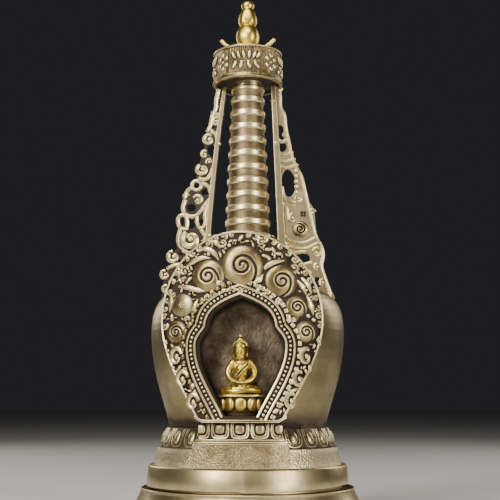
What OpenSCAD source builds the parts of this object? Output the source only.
// A stupa-shaped hand bell that rests on its own round stand.
// Z is up. The origin is on the table, under the middle of the stand. The niche faces -Y.

/* [Stand] */
// Height of the stand, from the table to the face that the bell's mouth rests on
stand_h = 15; // [10:1:40]
// How far the stand's wall leans out from its lip to its foot
stand_flare = 3.2; // [1:0.2:8]
// Thickness of the stand's wall band
stand_wall = 1.4; // [0.8:0.1:3]
// Thickness of the stand's top plate
stand_plate_t = 1.5; // [0.8:0.1:4]
// Thickness of the closing plate under the stand
stand_floor_t = 1; // [0.6:0.1:3]
// How far the lip of the stand rises above its top plate
lip_h = 0.5; // [0.2:0.1:2]
// Thickness of the felt under the stand
felt_t = 1.2; // [0.5:0.1:3]
// Height of the ring that centres the bell's mouth
seat_ring_h = 2.4; // [1:0.2:5]

/* [Mouth and base] */
// Radius of the collar band at its lower edge
collar_r = 37.5; // [30:0.5:60]
// Height of the collar band
collar_h = 7.6; // [4:0.2:14]
// How far the collar leans in at its top
collar_lean = 0.9; // [0.2:0.1:2]
// Thickness of the collar band at its lower edge
collar_t = 1.6; // [1.2:0.1:3]
// Gap between the collar's lower edge and the mouth's plane
collar_gap = 1.3; // [0.9:0.1:3]
// Thickness of the cast ring at the mouth
mouth_t = 3.6; // [2:0.2:6]
// Height of the grained skirt above the collar
skirt_h = 6.2; // [3:0.2:12]
// Height of the ring of lotus petals
lotus_h = 7.2; // [4:0.2:12]
// Number of lotus petals round the whole ring
petal_count = 26; // [16:2:40]

/* [Dome] */
// Radius of the dome at its widest
dome_r = 36.4; // [30:0.5:50]
// Radius of the dome's foot
dome_foot_r = 29.2; // [22:0.5:40]
// Height from the dome's foot to its shoulder
dome_h = 52; // [43:1:80]
// Thickness of the dome's wall
dome_wall = 1.6; // [1:0.1:3]

/* [Niche and arch] */
// Width of the niche at its widest
niche_w = 30.6; // [25:0.2:37]
// Height of the niche
niche_h = 41.4; // [34:0.2:50]
// Depth from the arch plate's back to the niche's back wall
niche_depth = 12; // [9:0.5:15]
// Thickness of the niche's pan
pan_t = 1.1; // [0.6:0.1:2]
// Width of the arch plate at its widest
arch_w = 57; // [47:0.5:70]
// Height of the arch plate
arch_h = 64.9; // [54:0.1:80]
// Thickness of the arch plate
arch_t = 2.2; // [1.4:0.1:4]
// Radius to which the arch plate is bent
arch_bend_r = 42; // [38:1:70]
// Height of the scrolls above the plate
scroll_rise = 1.3; // [0.6:0.1:2]
// Height of the seated figure
figure_h = 21.5; // [14:0.5:24]

/* [Spire] */
// Number of rings on the spire
ring_count = 13; // [7:1:13]
// Distance from ring to ring
ring_pitch = 5.4; // [4:0.1:7]
// Height of one ring
ring_h = 2.6; // [1.5:0.1:3.5]
// Radius of the lowest ring
ring_low_r = 9.4; // [7:0.1:12]
// Radius of the highest ring
ring_high_r = 6.6; // [5:0.1:8]
// How far a ring stands out from the core
ring_rise = 0.6; // [0.5:0.1:2]
// Side of the square block under the spire
harmika_w = 22; // [19:0.5:26]
// Height of the square block
harmika_h = 4.5; // [3.5:0.5:14]

/* [Umbrella and finial] */
// Radius of the umbrella drum at its lip
umbrella_r = 13.8; // [12:0.2:20]
// Height of the umbrella drum
umbrella_h = 12.2; // [8:0.2:18]
// Distance between the tips of the crescent
moon_span = 22.6; // [15:0.2:28]
// Height of the jewel above the umbrella
jewel_h = 22.2; // [16:0.5:30]
// Largest radius of the jewel
jewel_r = 4.8; // [3.6:0.1:6]

/* [Wings] */
// Thickness of the pierced wings
wing_t = 2.2; // [1.2:0.1:4]
// Width of the rail along a wing's inner edge
rail_w = 1.9; // [1.2:0.1:3]
// Gap between the rails and the rings
rail_gap = 1.8; // [1:0.1:4]

/* [Rod and clapper] */
// Radius of the rod that holds the spire together
rod_r = 1.5; // [1:0.1:2]
// Radius of the wire of the hanging eye and the link
wire_r = 0.8; // [0.6:0.05:1]
// Radius of the clapper's ball
ball_r = 6; // [4:0.25:7]
// Radius of the clapper's stem
stem_r = 1.4; // [1:0.1:2]
// Height of the ball's underside above the stand when the bell is at rest
ball_clear = 2.8; // [1.5:0.1:8]

/* [Hidden] */
RING_NAMES = [for (i = [1 : ring_count]) str("spire_ring_", i < 10 ? "0" : "", i)];

$fn = 64;
fit = 0.05;             // gap between pieces that fit in each other
hole_gap = 0.15;        // gap between the rod and the holes it passes through
cut = 0.5;              // how far a cutter runs past what it cuts
silver = "#b9a98a";
bright = "#d3c6a4";
dark = "#5a4c3c";
gilt = "#c9a13a";
steel = "#8d8d88";
felt = "#6b2a2a";

// heights of the faces where pieces meet
z_mouth = stand_h;
z_collar = z_mouth + collar_gap;
z_skirt = z_collar + collar_h;
z_lotus = z_skirt + skirt_h;
z_dome = z_lotus + lotus_h;
z_shoulder = z_dome + dome_h;
z_crown = z_shoulder + 1.7;              // top of the dome, where the square block stands
z_spire = z_crown + harmika_h;
z_umbrella = z_spire + ring_count * ring_pitch + 4.3;
z_umbrella_top = z_umbrella + umbrella_h;
z_plinth = z_dome + 3.2;                 // top of the plinth, where the arch stands
z_niche = z_plinth + pan_t;              // floor of the niche

// radii that follow from the driving ones
skirt_low_r = collar_r - collar_t - 1;
skirt_high_r = skirt_low_r - 1.5;
lotus_low_r = skirt_high_r - 0.9;
lotus_high_r = min(dome_foot_r + 0.9, lotus_low_r - 1);
mouth_out_r = collar_r - collar_t - collar_lean;
mouth_in_r = mouth_out_r - mouth_t;
stand_lip_r = collar_r + 2;
crown_r = harmika_w * 0.72;
rod_hole_r = rod_r + hole_gap;
arch_back_r = arch_bend_r;
arch_front_r = arch_bend_r + arch_t;
arch_centre_y = arch_bend_r - dome_r - 0.35;   // the plate just clears the dome's front
niche_back_y = arch_centre_y - arch_back_r + niche_depth;
front_reach = max(dome_r, collar_r) + arch_t + 15;

// hanging eye, link and stem, from the dome's crown down
eye_r = 3.2;                                   // all three loops are this size, wire centre to middle
loop_gap = wire_r * 2 + 0.25;                  // wire centre to wire centre where two loops hook
z_nut = z_shoulder - dome_wall - 4.4;
z_eye = z_nut - 6.5;                           // middle of the hanging eye
z_link_pivot = z_eye - eye_r;
z_link = z_link_pivot + loop_gap - eye_r;
z_clapper_pivot = z_link - eye_r;
z_clapper_eye = z_clapper_pivot + loop_gap - eye_r;
z_ball = z_mouth + ball_clear + ball_r;

// A cubic curve from a to d, pulled towards b and c, without its last point
function curve(a, b, c, d, steps = 8) = [for (i = [0 : steps - 1])
    let (t = i / steps, u = 1 - t) u*u*u*a + 3*u*u*t*b + 3*u*t*t*c + t*t*t*d];
function mirrored(points) = [for (i = [len(points) - 1 : -1 : 0]) [-points[i].x, points[i].y]];

// ---- stand ----

module stand_band() {
    lip = stand_lip_r;
    foot = stand_lip_r + stand_flare;
    color(silver) rotate_extrude($fn = 96) polygon(concat(
        [[lip - stand_wall, felt_t + stand_floor_t], [lip - stand_wall, z_mouth - stand_plate_t],
         [lip - 0.6, z_mouth - stand_plate_t], [lip - 0.6, z_mouth + lip_h], [lip - 0.1, z_mouth + lip_h],
         [lip, z_mouth + lip_h - 0.15]],
        curve([lip, z_mouth - 0.5], [lip + stand_flare * 0.4, z_mouth - 4],
              [foot - 0.4, z_mouth * 0.5 + 2], [foot - 0.4, felt_t + 2.6]),
        [[foot - 0.4, felt_t + 2.4], [foot, felt_t + 2], [foot, felt_t + 0.5], [foot - 0.5, felt_t],
         [lip - 0.6, felt_t], [lip - 0.6, felt_t + stand_floor_t]]));
}

module stand_top_plate() {
    color(silver) translate([0, 0, z_mouth - stand_plate_t])
        cylinder(r = stand_lip_r - 0.6 - fit, h = stand_plate_t, $fn = 96);
}

module stand_seat_ring() {
    seat_r = mouth_in_r - 0.5;
    color(silver) translate([0, 0, z_mouth]) difference() {
        cylinder(r1 = seat_r, r2 = seat_r - 0.5, h = seat_ring_h, $fn = 96);
        translate([0, 0, -cut]) cylinder(r = seat_r - 1.8, h = seat_ring_h + 2 * cut, $fn = 96);
    }
}

module stand_floor_plate() {
    color(silver) translate([0, 0, felt_t])
        cylinder(r = stand_lip_r - 0.6 - fit, h = stand_floor_t, $fn = 96);
}

module felt_pad() {
    color(felt) cylinder(r = stand_lip_r + stand_flare - 1.2, h = felt_t, $fn = 96);
}

// ---- mouth and base ----

// the heavy cast ring that the clapper strikes
module mouth_ring() {
    color(silver) rotate_extrude($fn = 96) polygon([
        [mouth_in_r + 0.5, z_mouth], [mouth_out_r - 0.5, z_mouth], [mouth_out_r, z_mouth + 0.5],
        [mouth_out_r, z_skirt], [mouth_in_r + 0.7, z_skirt], [mouth_in_r, z_skirt - 2.2],
        [mouth_in_r, z_mouth + 0.5]]);
}

// a strip wrapped round the ring: its free end dips below the rest of its lower edge
module mouth_collar() {
    inner = mouth_out_r + fit;
    dip = collar_gap - lip_h - 0.15;
    top_r = collar_r - collar_lean;
    color(bright) union() {
        rotate_extrude($fn = 96) polygon([
            [inner, z_collar], [collar_r - 0.4, z_collar], [collar_r, z_collar + 0.5],
            [top_r + 0.15, z_skirt - 0.6], [top_r - 0.4, z_skirt], [inner, z_skirt]]);
        rotate([0, 0, 267]) rotate_extrude(angle = 21, $fn = 96) polygon([
            [inner + 0.3, z_collar + 0.4], [inner + 0.3, z_collar - dip], [collar_r - 0.5, z_collar - dip],
            [collar_r - 0.3, z_collar - dip + 0.3], [collar_r - 0.3, z_collar + 0.4]]);
    }
}

module grained_skirt() {
    wall = 1.9;
    color(silver) rotate_extrude($fn = 96) polygon([
        [skirt_low_r - wall, z_skirt], [skirt_low_r, z_skirt], [skirt_high_r, z_lotus],
        [skirt_high_r - wall, z_lotus]]);
}

// the outer side of the lotus ring's section, and the whole section, without petals
function lotus_face(grow = 0) = concat(
    [[lotus_low_r - 0.7 + grow, z_lotus]],
    curve([lotus_low_r - 0.5 + grow, z_lotus + 0.7], [lotus_low_r - 0.9 + grow, z_lotus + lotus_h * 0.5],
          [lotus_high_r + 0.6 + grow, z_lotus + lotus_h * 0.8], [lotus_high_r - 0.4 + grow, z_dome]),
    [[lotus_high_r - 0.4 + grow, z_dome]]);
function lotus_section(grow = 0) = concat(
    [[lotus_low_r - 2.6, z_lotus]], lotus_face(grow), [[lotus_high_r - 2.2, z_dome]]);

// ring of petals, each a rounded boss cut back to the ring's own slope
module lotus_ring() {
    petal_w = PI * (lotus_low_r + lotus_high_r) / petal_count * 0.4;
    color(silver) intersection() {
        union() {
            rotate_extrude($fn = 96) polygon(lotus_section());
            for (i = [0 : petal_count - 1])
                rotate([0, 0, (i + 0.5) * 360 / petal_count])
                    translate([lotus_high_r - 1.5, 0, z_lotus + lotus_h * 0.46]) rotate([0, 90, 0])
                        cylinder(r = petal_w, h = 6);
        }
        rotate_extrude($fn = 96) polygon(lotus_section(0.5));
    }
}

// everything that the plinth is cut back to, a little larger
module base_core() {
    rotate_extrude($fn = 96) polygon(concat(
        [[0, z_collar], [skirt_low_r + fit, z_collar], [skirt_low_r + fit, z_skirt],
         [skirt_high_r + fit, z_lotus]],
        lotus_face(0.5 + fit),
        [[dome_foot_r + 1.3, z_dome], [dome_foot_r + 1.3, z_plinth + cut], [0, z_plinth + cut]]));
}

// stepped bracket in front, which carries the arch
module front_plinth() {
    top_w = arch_foot_w + 0.4;
    low_w = arch_foot_w + 2.4;
    // foot, top, half width, how far it stands out, and the radius of the base behind it
    steps = [[z_skirt + fit, z_lotus + 0.6, low_w + 0.8, -1.4, skirt_low_r],
             [z_lotus + 0.6, z_lotus + 2.2, low_w, -0.2, skirt_low_r],
             [z_lotus + 2.2, z_plinth - 1.3, top_w - 0.6, -1.1, lotus_low_r],
             [z_plinth - 1.3, z_plinth, top_w, 0.5, lotus_low_r]];
    petals_z = (z_lotus + 2.2 + z_plinth - 1.3) / 2;
    color(silver) difference() {
        for (s = steps)
            intersection() {
                translate([-s[2], -front_reach, s[0]]) cube([s[2] * 2, front_reach, s[1] - s[0]]);
                translate([0, arch_centre_y, s[0]])
                    cylinder(r = max(arch_front_r + s[3], s[4] + arch_centre_y + 2.2), h = s[1] - s[0]);
            }
        base_core();
        dowel_hole();
        for (i = [-2 : 2])
            translate([0, arch_centre_y, petals_z]) rotate([90, 0, asin(i * arch_foot_w * 0.36 / arch_front_r)])
                translate([0, 0, arch_front_r - 1.8]) difference() {
                    cylinder(r = 2.4, h = 5);
                    translate([0, 0, -cut]) cylinder(r = 1.8, h = 6);
                }
    }
}

// ---- dome ----

dome_flank = [[dome_foot_r, z_dome], [dome_foot_r + 2, z_dome + dome_h * 0.2],
              [dome_r - 0.2, z_dome + dome_h * 0.36], [dome_r, z_dome + dome_h * 0.68]];
dome_turn = [[dome_r, z_dome + dome_h * 0.68], [dome_r, z_dome + dome_h * 0.84],
             [dome_r - 2.6, z_shoulder - 1.6], [dome_r - 12.4, z_shoulder]];

function inward(p, dr, dz) = [p.x - dr, p.y - dz];

// outside of the dome as a solid, up to its crown
module dome_body(grow = 0) {
    rotate_extrude($fn = 120) polygon(concat(
        [[0, z_dome]],
        [for (p = curve(dome_flank[0], dome_flank[1], dome_flank[2], dome_flank[3], 12)) [p.x + grow, p.y]],
        [for (p = curve(dome_turn[0], dome_turn[1], dome_turn[2], dome_turn[3], 10)) [p.x + grow, p.y + grow]],
        [[dome_r - 12.4, z_shoulder + grow], [crown_r, z_crown - 0.6 + grow], [crown_r - 0.8, z_crown + grow],
         [0, z_crown + grow]]));
}

module dome_hollow() {
    w = dome_wall;
    flank = [for (p = dome_flank) inward(p, w, 0)];
    turn = [inward(dome_turn[0], w, 0), inward(dome_turn[1], w, 0), inward(dome_turn[2], w, w),
            inward(dome_turn[3], w * 0.5, w)];
    rotate_extrude($fn = 120) polygon(concat(
        [[0, z_dome - cut], [flank[0].x, z_dome - cut]],
        curve(flank[0], flank[1], flank[2], flank[3], 12),
        curve(turn[0], turn[1], turn[2], turn[3], 10),
        [turn[3], [0, z_shoulder - w]]));
}

module dome_shell() {
    color(silver) difference() {
        dome_body();
        dome_hollow();
        translate([0, 0, z_shoulder - 2 * dome_wall]) cylinder(r = rod_hole_r, h = 10);
        translate([0, niche_back_y + pan_t + fit, 0]) prism() offset(delta = pan_t + fit) niche_outline();
    }
}

// ---- niche, arch and figure ----

arch_foot_w = arch_w * 0.258;                 // half the arch's width at its foot

// half widths and heights of the niche's turning points, above its floor
niche_foot = [niche_w * 0.183, 0];
niche_side = [niche_w * 0.5, niche_h * 0.58];
niche_cusp = [niche_w * 0.389, niche_h * 0.745];
niche_apex = [0, niche_h];
niche_half = concat(
    curve(niche_foot, [niche_w * 0.31, niche_h * 0.2], [niche_w * 0.5, niche_h * 0.38], niche_side, 10),
    curve(niche_side, [niche_w * 0.5, niche_h * 0.67], [niche_w * 0.42, niche_h * 0.69], niche_cusp, 6),
    curve(niche_cusp, [niche_w * 0.38, niche_h * 0.88], [niche_w * 0.22, niche_h * 0.94], niche_apex, 8));

module niche_outline() {
    translate([0, z_niche]) polygon(concat(niche_half, [niche_apex], mirrored(niche_half)));
}

arch_side = [arch_w / 2, arch_h * 0.53];      // where the arch is widest
arch_half = concat(
    curve([arch_foot_w, 0], [arch_w * 0.36, arch_h * 0.16], [arch_w * 0.5, arch_h * 0.36], arch_side, 10),
    [for (a = [0 : 9 : 81]) [arch_side.x * cos(a), arch_side.y + (arch_h - arch_side.y) * sin(a)]]);

module arch_outline() {
    translate([0, z_plinth]) polygon(concat(arch_half, [[0, arch_h]], mirrored(arch_half)));
}

// a flat outline in X and Z, run forwards from the axis
module prism() rotate([90, 0, 0]) linear_extrude(front_reach) children();

// the part of a prism that lies between two radii of the bent plate
module bent(inner, outer) {
    intersection() {
        prism() children();
        translate([0, arch_centre_y, 0]) difference() {
            cylinder(r = outer, h = z_plinth + arch_h + 10, $fn = 120);
            translate([0, 0, -cut]) cylinder(r = inner, h = z_plinth + arch_h + 12, $fn = 120);
        }
    }
}

module arch_plate() {
    color(silver) bent(arch_back_r, arch_front_r) difference() {
        arch_outline();
        niche_outline();
    }
}

// rims along the niche's edge, with the row of beads as one flat band between them
module arch_border() {
    color(bright) for (band = [[0, 0.9, 0.9], [0.9, 2.7, 0.35], [2.7, 3.5, 0.9]])
        bent(arch_front_r, arch_front_r + band[2]) intersection() {
            difference() {
                offset(delta = band[1]) niche_outline();
                offset(delta = band[0]) niche_outline();
            }
            translate([-arch_w, z_niche]) square([arch_w * 2, niche_h * 1.2]);
        }
}

// x and height as shares of the arch, and radius of each scroll
SCROLLS = [
    [0.03, 0.835, 7.2], [-0.41, 0.765, 5], [0.49, 0.735, 5], [-0.72, 0.605, 4], [0.68, 0.597, 3.8],
    [-0.81, 0.466, 3.9], [0.8, 0.467, 3.8], [-0.81, 0.333, 3.1], [0.775, 0.333, 3.1],
    [-0.72, 0.213, 2.8], [0.69, 0.213, 2.8], [-0.57, 0.095, 2.5], [0.585, 0.1, 2.7]];

module arch_scrolls() {
    color(bright) for (s = SCROLLS)
        let (turn = asin(s[0] * arch_w / 2 / arch_front_r))
            translate([0, arch_centre_y, z_plinth + s[1] * arch_h]) difference() {
                rotate([90, 0, turn]) cylinder(r = s[2], h = arch_front_r + scroll_rise);
                translate([0, 0, -10]) cylinder(r = arch_front_r, h = 20, $fn = 120);
            }
}

// the closed recess behind the arch
module niche_pan() {
    color(dark) difference() {
        prism() offset(delta = pan_t) niche_outline();
        translate([0, niche_back_y, 0]) prism() niche_outline();
        translate([-arch_w / 2, niche_back_y + pan_t, z_dome]) cube([arch_w, front_reach, arch_h]);
        translate([0, arch_centre_y, 0]) difference() {
            cylinder(r = 200, h = 300);
            translate([0, 0, -cut]) cylinder(r = arch_back_r, h = 301, $fn = 120);
        }
        dowel_hole();
    }
}

throne_y = arch_centre_y - arch_back_r + niche_depth * 0.5;
dowel_y = throne_y - 1.6;
throne_r = niche_w * 0.265;                   // half the throne's width at its top
throne_block_h = 2.6;
throne_h = 7.4;
dowel_r = 0.9;
dowel_z = z_plinth - 2.5;

module dowel_hole() {
    translate([0, dowel_y, dowel_z]) cylinder(r = dowel_r + fit, h = 6);
}

module throne_dowel() {
    color(steel) translate([0, dowel_y, dowel_z]) cylinder(r = dowel_r, h = 5.4);
}

// a slab with round ends, w half its width and d half its depth
module slab(w, d, h) {
    linear_extrude(h) hull() for (x = [-1, 1]) translate([x * (w - d), 0]) circle(r = d, $fn = 32);
}

module lotus_throne() {
    d = niche_depth * 0.36;
    color(gilt) difference() {
        translate([0, throne_y, z_niche]) union() {
            slab(niche_foot.x - 0.3, d * 0.8, throne_block_h);
            translate([0, 0, throne_block_h]) slab(throne_r - 2.2, d * 0.9, 1);
            translate([0, 0, throne_block_h + 1]) slab(throne_r - 1.4, d, throne_h - throne_block_h - 2);
            translate([0, 0, throne_h - 1]) slab(throne_r, d + 0.3, 1);
            for (x = [-2 : 2])
                translate([x * (throne_r - 1.8) / 2.2, -d, throne_block_h + 2.6]) sphere(r = 1.2);
        }
        dowel_hole();
    }
}

module limb(a, b, ra, rb) {
    hull() {
        translate(a) sphere(r = ra, $fn = 16);
        translate(b) sphere(r = rb, $fn = 16);
    }
}

// a seated figure with its hands in its lap
module seated_figure() {
    color(gilt) translate([0, throne_y, z_niche + throne_h]) scale(figure_h / 18.8) intersection() {
        union() {
            for (side = [-1, 1]) {
                limb([side * 1.2, 1.2, 1.5], [side * 5.4, -1.4, 1.4], 1.6, 1.4);
                limb([side * 5.4, -1.4, 1.3], [-side * 1.6, -2.9, 1.2], 1.3, 1);
                limb([side * 3.2, 0.6, 9.4], [side * 4.5, -0.2, 5.8], 1.35, 1.15);
                limb([side * 4.5, -0.2, 5.8], [side * 0.8, -2.4, 3.6], 1.15, 0.9);
            }
            hull() {
                translate([0, 0.6, 1.5]) sphere(r = 2.4, $fn = 16);
                for (side = [-1, 1]) translate([side * 2.2, 0.7, 9.2]) sphere(r = 1.6, $fn = 16);
            }
            translate([0, 0.3, 10]) cylinder(r1 = 1.3, r2 = 1, h = 3);
            translate([0, 0, 14.2]) sphere(r = 2.3, $fn = 24);
            translate([0, 0.2, 16.7]) sphere(r = 1.1, $fn = 16);
            translate([0, 0.2, 17.2]) cylinder(r1 = 0.8, r2 = 0.2, h = 1.6);
        }
        translate([-10, -8, 0]) cube([20, 8 + niche_depth * 0.42, 30]);
    }
}

// ---- spire ----

module harmika() {
    w = harmika_w;
    color(silver) difference() {
        translate([0, 0, z_crown]) union() {
            translate([-w * 0.45, -w * 0.45, 0]) cube([w * 0.9, w * 0.9, harmika_h * 0.2]);
            translate([-w * 0.38, -w * 0.38, 0]) cube([w * 0.76, w * 0.76, harmika_h]);
            translate([-w * 0.43, -w * 0.43, harmika_h * 0.72])
                cube([w * 0.86, w * 0.86, harmika_h * 0.14]);
            translate([-w * 0.5, -w * 0.5, harmika_h * 0.86]) cube([w, w, harmika_h * 0.14]);
        }
        translate([0, 0, z_crown - cut]) cylinder(r = rod_hole_r, h = harmika_h + 2 * cut);
    }
}

spire_h = z_umbrella - z_spire;
function ring_z(i) = z_spire + (i - 0.5) * ring_pitch;
function ring_r(i) = ring_low_r + (ring_high_r - ring_low_r) * (i - 1) / (ring_count - 1);
// radius of the core at a height, a ring's rise inside the rings
function core_r(z) = ring_low_r - ring_rise
    + (ring_high_r - ring_low_r) * ((z - z_spire) / ring_pitch - 0.5) / (ring_count - 1);

module spire_core() {
    color(silver) difference() {
        translate([0, 0, z_spire])
            cylinder(r1 = core_r(z_spire), r2 = core_r(z_umbrella), h = spire_h, $fn = 96);
        translate([0, 0, z_spire - cut]) cylinder(r = rod_hole_r, h = spire_h + 2 * cut);
    }
}

// one ring, bored to sit on the core's taper
module spire_ring(i) {
    z = ring_z(i);
    half = ring_h / 2;
    color(bright) rotate_extrude($fn = 96) polygon([
        [core_r(z - half) + fit, z - half], [ring_r(i) - 0.35, z - half], [ring_r(i), z - half * 0.6],
        [ring_r(i), z + half * 0.55], [ring_r(i) - 0.4, z + half], [core_r(z + half) + fit, z + half]]);
}

module spire_collar() {
    low = z_umbrella - 3.2;
    color(bright) rotate_extrude($fn = 96) polygon([
        [core_r(low) + fit, low], [ring_high_r - 0.1, low], [ring_high_r + 0.1, low + 1],
        [ring_high_r - 0.3, low + 1.5], [ring_high_r - 0.1, z_umbrella], [core_r(z_umbrella) + fit, z_umbrella]]);
}

// ---- umbrella and finial ----

umbrella_wall_r = umbrella_r - 0.8;

module umbrella_drum() {
    inner = umbrella_wall_r - 1.3;
    color(silver) rotate_extrude($fn = 96) polygon([
        [rod_hole_r, z_umbrella], [umbrella_r - 2.6, z_umbrella], [umbrella_r - 2.2, z_umbrella - 0.8],
        [umbrella_r - 0.4, z_umbrella - 0.8], [umbrella_r, z_umbrella - 0.3],
        [umbrella_r - 0.2, z_umbrella + 0.9], [umbrella_wall_r, z_umbrella + 1.5],
        [umbrella_wall_r, z_umbrella_top - 1], [umbrella_wall_r + 0.5, z_umbrella_top - 0.7],
        [umbrella_wall_r + 0.5, z_umbrella_top - 0.2], [umbrella_wall_r + 0.2, z_umbrella_top],
        [inner, z_umbrella_top], [inner, z_umbrella + 1.6], [rod_hole_r, z_umbrella + 1.6]]);
}

module umbrella_top_plate() {
    t = 1.2;
    color(silver) translate([0, 0, z_umbrella_top - t]) difference() {
        cylinder(r = umbrella_wall_r - 1.3 - fit, h = t, $fn = 96);
        translate([0, 0, -cut]) cylinder(r = rod_hole_r, h = t + 2 * cut);
    }
}

moon_t = 1.7;
moon_r = moon_span / 2;
jewel_foot = 2.2;                             // where the jewel stands, above the umbrella

// a crescent lying on its back, with its tips up
module moon_crescent() {
    drop = moon_r * 0.42;
    foot_h = 1.2;
    color(gilt) difference() {
        translate([0, 0, z_umbrella_top]) union() {
            cylinder(r = 3.4, h = foot_h);
            translate([0, moon_t / 2, moon_r + foot_h - 0.6]) rotate([90, 0, 0]) linear_extrude(moon_t)
                intersection() {
                    difference() {
                        circle(r = moon_r, $fn = 96);
                        translate([0, moon_r * 0.3]) circle(r = moon_r * 0.95, $fn = 96);
                    }
                    translate([-moon_r, -moon_r - 1]) square([moon_r * 2, moon_r + 1 - drop]);
                }
        }
        translate([0, 0, z_umbrella_top - cut]) cylinder(r = rod_hole_r, h = 8);
        translate([0, 0, z_umbrella_top + jewel_foot - fit]) cylinder(r = jewel_r * 0.86, h = jewel_h);
    }
}

// three stages: a ball, an egg and a bud, threaded on the rod
module finial_jewel() {
    r = jewel_r;
    h = jewel_h - jewel_foot;
    z = z_umbrella_top + jewel_foot;
    hole = rod_r + 0.02;
    color(gilt) rotate_extrude($fn = 96) polygon(concat(
        [[hole, z], [r * 0.62, z]],
        curve([r * 0.62, z + h * 0.02], [r * 0.6, z + h * 0.12], [r * 1.05, z + h * 0.16], [r, z + h * 0.33], 6),
        curve([r, z + h * 0.33], [r * 0.98, z + h * 0.44], [r * 0.72, z + h * 0.46], [r * 0.66, z + h * 0.52], 6),
        curve([r * 0.66, z + h * 0.53], [r * 0.84, z + h * 0.62], [r * 0.8, z + h * 0.76],
              [r * 0.5, z + h * 0.84], 6),
        curve([r * 0.5, z + h * 0.85], [r * 0.66, z + h * 0.93], [r * 0.5, z + h], [0.02, z + h], 6),
        [[0, z + h], [0, z + h * 0.5], [hole, z + h * 0.5]]));
}

// ---- wings ----

wing_top = z_umbrella;
rail_top_x = ring_high_r + rail_gap;
rail_low_x = ring_low_r + rail_gap + 3.4;
wing_top_x = umbrella_r - 1.4;
wing_low_x = dome_r - 3.2;
wing_low = z_shoulder - 5;

// a point of the wing: s runs from the top to the bottom, w from the rail to the outer edge
function wing_point(s, w) =
    let (inner = rail_top_x + rail_w + (rail_low_x - rail_top_x) * s,
         outer = wing_top_x + (wing_low_x - wing_top_x) * (s * 0.86 + 0.14 * s * s) + 1.4 * sin(s * 180))
    [inner + (outer - inner) * w, wing_top + (wing_low - wing_top) * s];

// where a rail crosses a height, as its inner edge
function rail_x(z) = rail_top_x + (rail_low_x - rail_top_x) * (wing_top - z) / (wing_top - wing_low);

// height share, width share and radius of the lobes along the outer edge, and of the holes
WING_LOBES = [[0.1, 0.93, 1.4], [0.2, 0.95, 1.8], [0.31, 0.94, 1.8], [0.43, 0.96, 2.2], [0.55, 0.96, 2.2],
              [0.67, 0.96, 2.5], [0.8, 0.96, 2.6], [0.92, 0.95, 2.5]];
LEFT_HOLES = [[0.29, 0.25, 0.8], [0.45, 0.6, 1], [0.53, 0.3, 1], [0.63, 0.55, 1.8], [0.66, 0.25, 1.1],
              [0.75, 0.66, 2.1], [0.8, 0.3, 1.4], [0.88, 0.75, 1.6]];
RIGHT_HOLES = [[0.18, 0.35, 0.9], [0.26, 0.35, 1.1], [0.44, 0.36, 1.7], [0.5, 0.36, 2], [0.56, 0.4, 1.5],
               [0.68, 0.6, 0.9], [0.82, 0.62, 1.6], [0.9, 0.78, 1.5]];

// the umbrella's lip, a little larger, which the wings' tops are cut back to
module lip_space() {
    translate([0, 0, z_umbrella - 0.8 - fit]) difference() {
        cylinder(r = umbrella_r + 1, h = 1 + fit);
        translate([0, 0, -cut]) cylinder(r = umbrella_r - 2.6 - fit, h = 2 + 2 * cut);
    }
}

module wing(holes) {
    n = 12;
    color(silver) difference() {
        rotate([90, 0, 0]) translate([0, 0, -wing_t / 2]) linear_extrude(wing_t) difference() {
            union() {
                polygon(concat([for (i = [0 : n]) wing_point(i / n, 0)],
                               [for (i = [n : -1 : 0]) wing_point(i / n, 0.93)]));
                for (lobe = WING_LOBES)
                    translate(wing_point(lobe[0], lobe[1]) - [lobe[2] * 0.6, 0]) circle(r = lobe[2], $fn = 32);
            }
            for (hole = holes) translate(wing_point(hole[0], hole[1])) circle(r = hole[2], $fn = 24);
            translate([0, wing_top]) square([umbrella_r * 2, umbrella_h]);
            polygon(concat([for (i = [0 : n]) wing_point(i / n, 0)], [[0, wing_low - 5], [0, wing_top + 5]]));
        }
        dome_body(fit);
        lip_space();
    }
}

module rail() {
    color(bright) difference() {
        rotate([90, 0, 0]) translate([0, 0, -wing_t / 2 - 0.4]) linear_extrude(wing_t + 0.8) polygon([
            [rail_top_x, wing_top], [rail_top_x + rail_w - fit, wing_top],
            [rail_low_x + rail_w - fit, wing_low], [rail_low_x, wing_low]]);
        dome_body(fit);
        translate([0, 0, z_spire - harmika_h * 0.14]) cube([harmika_w + 0.2, harmika_w + 0.2, harmika_h * 0.28 + 0.1],
                                                         center = true);
    }
}

// round-headed pins through the rails, two on each side
module wing_pins() {
    color(bright) for (side = [-1, 1]) for (z = [wing_top - 7, wing_top - 24])
        translate([side * (rail_x(z) + rail_w / 2), -wing_t / 2 - 0.4, z]) rotate([90, 0, 0]) intersection() {
            translate([0, 0, -0.3]) sphere(r = 0.85, $fn = 24);
            cylinder(r = 2, h = 2);
        }
}

// ---- rod and clapper ----

module tie_rod() {
    low = z_eye + eye_r + wire_r - 0.3;
    color(steel) translate([0, 0, low])
        cylinder(r = rod_r, h = z_umbrella_top + jewel_foot + (jewel_h - jewel_foot) * 0.48 - low);
}

module rod_washer() {
    color(steel) translate([0, 0, z_shoulder - dome_wall - 1.2]) difference() {
        cylinder(r = rod_r * 3, h = 1.2 - fit);
        translate([0, 0, -cut]) cylinder(r = rod_hole_r, h = 1.2 + 2 * cut);
    }
}

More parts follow.
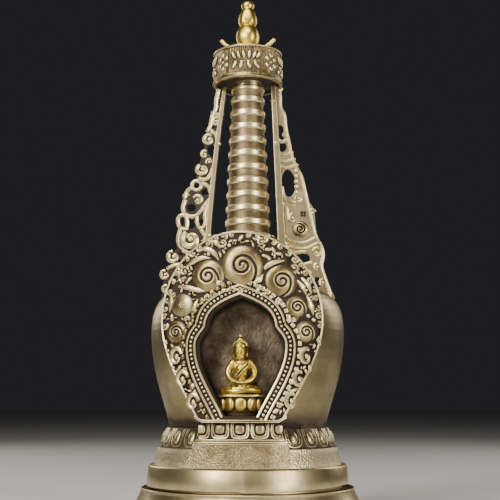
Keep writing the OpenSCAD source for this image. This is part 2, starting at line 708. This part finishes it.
module rod_nut() {
    color(steel) translate([0, 0, z_nut]) difference() {
        cylinder(r = rod_r * 2.1, h = 3.1, $fn = 6);
        translate([0, 0, -cut]) cylinder(r = rod_r + 0.02, h = 4 + cut);
    }
}

// a loop of wire about the Y axis
module loop() rotate([90, 0, 0]) rotate_extrude($fn = 64) translate([eye_r, 0]) circle(r = wire_r, $fn = 32);

module hanging_eye() {
    stub = z_eye + eye_r;
    color(steel) difference() {
        union() {
            translate([0, 0, z_eye]) loop();
            translate([0, 0, stub]) cylinder(r = rod_r + 0.7, h = 2.6);
        }
        translate([0, 0, stub + wire_r - 0.3]) cylinder(r = rod_r + 0.02, h = 4);
    }
}

module clapper_link() {
    color(steel) translate([0, 0, z_link]) rotate([0, 0, 90]) loop();
}

module clapper_stem() {
    top = z_clapper_eye - eye_r;
    color(steel) union() {
        translate([0, 0, z_clapper_eye]) loop();
        translate([0, 0, z_ball + ball_r * 0.5]) cylinder(r1 = stem_r, r2 = stem_r * 0.8,
                                                          h = top - z_ball - ball_r * 0.5);
    }
}

module clapper_ball() {
    color(steel) difference() {
        translate([0, 0, z_ball]) sphere(r = ball_r);
        translate([0, 0, z_ball + ball_r * 0.5 - fit]) cylinder(r = stem_r + fit, h = ball_r);
    }
}

stand_band();
stand_top_plate();
stand_seat_ring();
stand_floor_plate();
felt_pad();
mouth_ring();
mouth_collar();
grained_skirt();
lotus_ring();
front_plinth();
dome_shell();
niche_pan();
arch_plate();
arch_border();
arch_scrolls();
lotus_throne();
seated_figure();
throne_dowel();
harmika();
spire_core();
spire_collar();
umbrella_drum();
umbrella_top_plate();
mirror([1, 0, 0]) wing(LEFT_HOLES);  // left_wing
wing(RIGHT_HOLES);  // right_wing
mirror([1, 0, 0]) rail();  // left_wing_rail
rail();  // right_wing_rail
wing_pins();
moon_crescent();
finial_jewel();
tie_rod();
rod_washer();
rod_nut();
hanging_eye();
clapper_link();
clapper_stem();
clapper_ball();
for (i = [1 : ring_count]) spire_ring(i);
